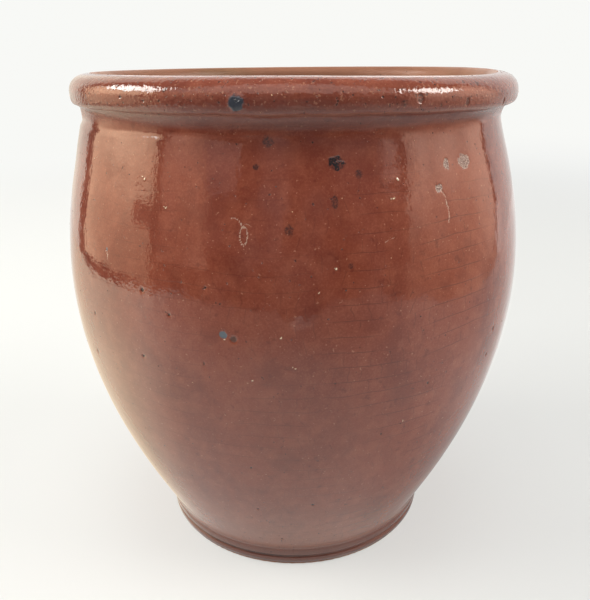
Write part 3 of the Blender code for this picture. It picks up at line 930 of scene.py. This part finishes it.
TABLE_DROP = 0.0001
table_edge = [
    (0.90, 0.90), (0.75, 0.35), (0.57, 0.12), (0.52, 0), (0.50, -0.12), (0.48, -0.20), (0.54, -0.34),
    (0.50, -0.45), (0.48, -0.54), (0.62, -0.78), (0.56, -0.82), (0.38, -0.75), (0.28, -0.76), (0.16, -0.68),
    (0.10, -0.57), (0.06, -0.47), (0, -0.47), (-0.03, -0.54), (-0.07, -0.63), (-0.15, -0.61), (-0.25, -0.58),
    (-0.38, -0.63), (-0.47, -0.54), (-0.56, -0.54), (-0.66, -0.56), (-0.71, -0.45), (-0.67, -0.35),
    (-0.70, -0.15), (-0.65, 0), (-0.62, 0.20), (-0.64, 0.35), (-0.60, 0.90)]
table_edge = [Vector((x, y, -TABLE_DROP)) for x, y in table_edge[::-1]]
EDGE_STEPS, EDGE_RAGS, EDGE_LUMPS = 6, 0.05, 30
ragged_edge = []
for start, end in zip(table_edge, table_edge[1:] + table_edge[:1]):
    for step in range(EDGE_STEPS):
        point = start.lerp(end, step / EDGE_STEPS)
        ragged_edge.append(point * (1 + EDGE_RAGS * noise.noise(point * EDGE_LUMPS)))
stage_piece("table", ragged_edge, [tuple(range(len(ragged_edge)))], pale_top)
FAR, FAR_DROP = 30, 10 * TABLE_DROP
stage_piece("far_floor", [(x, y, -FAR_DROP) for x, y in ((-FAR, -FAR), (FAR, -FAR), (FAR, FAR), (-FAR, FAR))],
            [(0, 1, 2, 3)], pale_top, visible_glossy=False, visible_diffuse=False, visible_shadow=False)

ROOM_RADIUS = 1.6
ROOM_CENTRE = Vector((0, 0, 0.12))
EDGE_WAVE = 1.1
HOT_COLOUR = (0.94, 1, 0.90, 1)


def towards(azimuth, height):
    """The way out from the pot at an azimuth and a height in degrees."""
    azimuth, height = math.radians(azimuth), math.radians(height)
    level = math.cos(height)
    return Vector((math.sin(azimuth) * level, -math.cos(azimuth) * level, math.sin(height)))


def card(name, left, right, low, high, colour, strength, fade_down=1.0, fade_right=1.0, uneven=0.15, hot=None,
         lean=0, nearer=0.0):
    """A patch of the room as the glaze mirrors it, between two azimuths and two heights in degrees."""
    across, up = int(abs(right - left)), int(abs(high - low))
    points, faces, dim, heat = [], [], [], []
    for row in range(up + 1):
        for column in range(across + 1):
            azimuth = left + (right - left) * column / across + lean * row / up
            height = low + (high - low) * row / up
            wave = EDGE_WAVE * noise.noise_vector(Vector((azimuth, height, 0)) / 3.5)
            points.append(ROOM_CENTRE + (ROOM_RADIUS - nearer) * towards(azimuth + wave.x, height + wave.y))
            sunk, aside = 1 - row / up, column / across
            warmth = 0
            if hot:
                hot_azimuth, hot_height, reach, gain = hot
                from_hot = (azimuth - hot_azimuth) ** 2 + 4 * (height - hot_height) ** 2
                warmth = math.exp(-from_hot / reach ** 2)
            heat.append(warmth)
            dim.append((1 + (fade_down - 1) * sunk) * (1 + (fade_right - 1) * aside * sunk)
                       * (1 + (gain * warmth if hot else 0)))
            if row < up and column < across:
                first = row * (across + 1) + column
                faces.append((first, first + 1, first + across + 2, first + across + 1))
    material = bpy.data.materials.new(name)
    material.use_nodes = True
    tree = material.node_tree
    tree.nodes.remove(tree.nodes["Principled BSDF"])
    place = add(tree, "ShaderNodeTexCoord").outputs["Object"]
    level = ramp(tree, clouds(tree, place, 2.2, 2, left), 0.3, 0.7,
                 strength * (1 - uneven), strength * (1 + uneven))
    dimmed = add(tree, "ShaderNodeAttribute", attribute_name="dim").outputs["Fac"]
    heated = add(tree, "ShaderNodeAttribute", attribute_name="heat").outputs["Fac"]
    glow = add(tree, "ShaderNodeEmission", {
        "Color": tint(tree, heated, colour, HOT_COLOUR), "Strength": product(tree, level, dimmed)})
    tree.links.new(glow.outputs[0], tree.nodes["Material Output"].inputs["Surface"])
    piece = stage_piece(name, points, faces, material, visible_camera=False, visible_diffuse=False,
                        visible_shadow=False, visible_transmission=False, visible_volume_scatter=False)
    piece.data.attributes.new("dim", "FLOAT", "POINT").data.foreach_set("value", dim)
    piece.data.attributes.new("heat", "FLOAT", "POINT").data.foreach_set("value", heat)


card("dark_behind_all", -156, 116, -42, 88, (1, 0.9, 0.8, 1), 0.10, nearer=-0.05)
card("dark_room", -40, 48, -42, 31, (0.85, 0.95, 1, 1), 0.12, uneven=0.9)
card("high_wall", -41, -26, 19, 31, (1, 0.95, 0.95, 1), 0.3, uneven=0.6, nearer=0.1)
card("warm_wall", -65, -40, -2, 31, (1, 0.60, 0.45, 1), 1.1, 0.7, uneven=0.35, hot=(-61, 25, 10, 1.0))
card("left_window", -118, -68, -9.5, 27, (1, 0.69, 0.46, 1), 2.9, 0.72, 0.45, hot=(-88, 17, 16, 1.1), lean=-1)
card("left_back", -156, -124.5, -30, 50, (1, 0.95, 0.82, 1), 1.15, lean=-4)
card("right_window", 52, 112.5, -10, 36, (1, 0.68, 0.53, 1), 2.2, 0.25, 1.7, uneven=0.25,
     hot=(75, 18, 16, 0.7))
card("under_right_window", 52, 118, -30, -10, (1, 0.74, 0.6, 1), 0.7, uneven=0.3)
card("right_back", 114, 119, -10, -1, (1, 0.93, 0.88, 1), 1.3)
card("back_wall", 162, 198, -10, 30, (1, 0.97, 0.93, 1), 1.5)
card("front_ceiling", -65, 56, 31, 84, (1, 0.86, 0.80, 1), 1.3)
card("back_ceiling", 56, 295, 50, 89, (1, 0.97, 0.93, 1), 0.15, nearer=-0.02)
card("wall_by_the_right_window", 38, 51, -12, 31, (1, 0.9, 0.8, 1), 0.2, uneven=0.5, lean=9, nearer=0.1)
card("wall_under_the_left_window", -79, -67, 4.5, 10.5, (1, 0.58, 0.42, 1), 0.5, uneven=0.7, nearer=0.1)
card("doorway", -17, -4, 4, 24, (0.9, 0.97, 1, 1), 0.3, uneven=0.8, lean=2, nearer=0.1)
card("left_strip", -107, -72, 25, 43, (1, 0.97, 0.92, 1), 12, nearer=0.1)
card("right_strip", 62, 88, 25, 42, (1, 0.97, 0.92, 1), 12, nearer=0.1)
card("glow_by_the_right_window", 40, 54, 10, 27, (1, 0.72, 0.62, 1), 0.2, hot=(50, 21, 6, 6), nearer=0.12)
card("floor_in_front", -40, 48, -42, -15, (1, 0.97, 0.93, 1), 0.8, nearer=0.05)

# Lights
# Broad square lamps high at both sides, overhead and behind, and soft light from all round, with little from
# the front. The glaze doesn't mirror the lamps: it mirrors the cards of the room.
def lamp(name, azimuth, height, distance, size, watts, colour):
    """A square lamp that looks at the pot from an azimuth and a height in degrees."""
    light = bpy.data.lights.new(name, "AREA")
    light.shape = "SQUARE"
    light.size = size
    light.energy = watts
    light.color = colour
    lit = bpy.data.objects.new(name, light)
    bpy.context.scene.collection.objects.link(lit)
    away = towards(azimuth, height)
    lit.location = ROOM_CENTRE + away * distance
    lit.rotation_euler = away.to_track_quat("Z", "Y").to_euler()
    lit.visible_glossy = False
    return lit


AMBIENT = 0.26
lamp("left_lamp", -84, 34, 1.8, 1.1, 29, (1, 0.96, 0.90))
lamp("right_lamp", 80, 34, 1.8, 1.1, 24, (1, 0.94, 0.87))
lamp("top_lamp", -5, 82, 1.8, 0.9, 14, (1, 0.98, 0.95))
lamp("back_lamp", 180, 60, 1.8, 1.3, 6, (1, 0.98, 0.95))

world = bpy.data.worlds.new("white_room")
bpy.context.scene.world = world
world.use_nodes = True
tree = world.node_tree
soft = add(tree, "ShaderNodeBackground", {"Color": (1, 0.985, 0.96, 1), "Strength": AMBIENT}).outputs[0]
white = add(tree, "ShaderNodeBackground", {"Color": WHITE, "Strength": 1.0}).outputs[0]
ray = add(tree, "ShaderNodeLightPath").outputs
mirrored = reckon(tree, "MAXIMUM", ray["Is Glossy Ray"], ray["Is Transmission Ray"])
seen_white = reckon(tree, "MAXIMUM", ray["Is Camera Ray"], mirrored)
both = add(tree, "ShaderNodeMixShader", {0: seen_white, 1: soft, 2: white}).outputs[0]
tree.links.new(both, tree.nodes["World Output"].inputs["Surface"])

bpy.context.scene.view_settings.view_transform = "Standard"
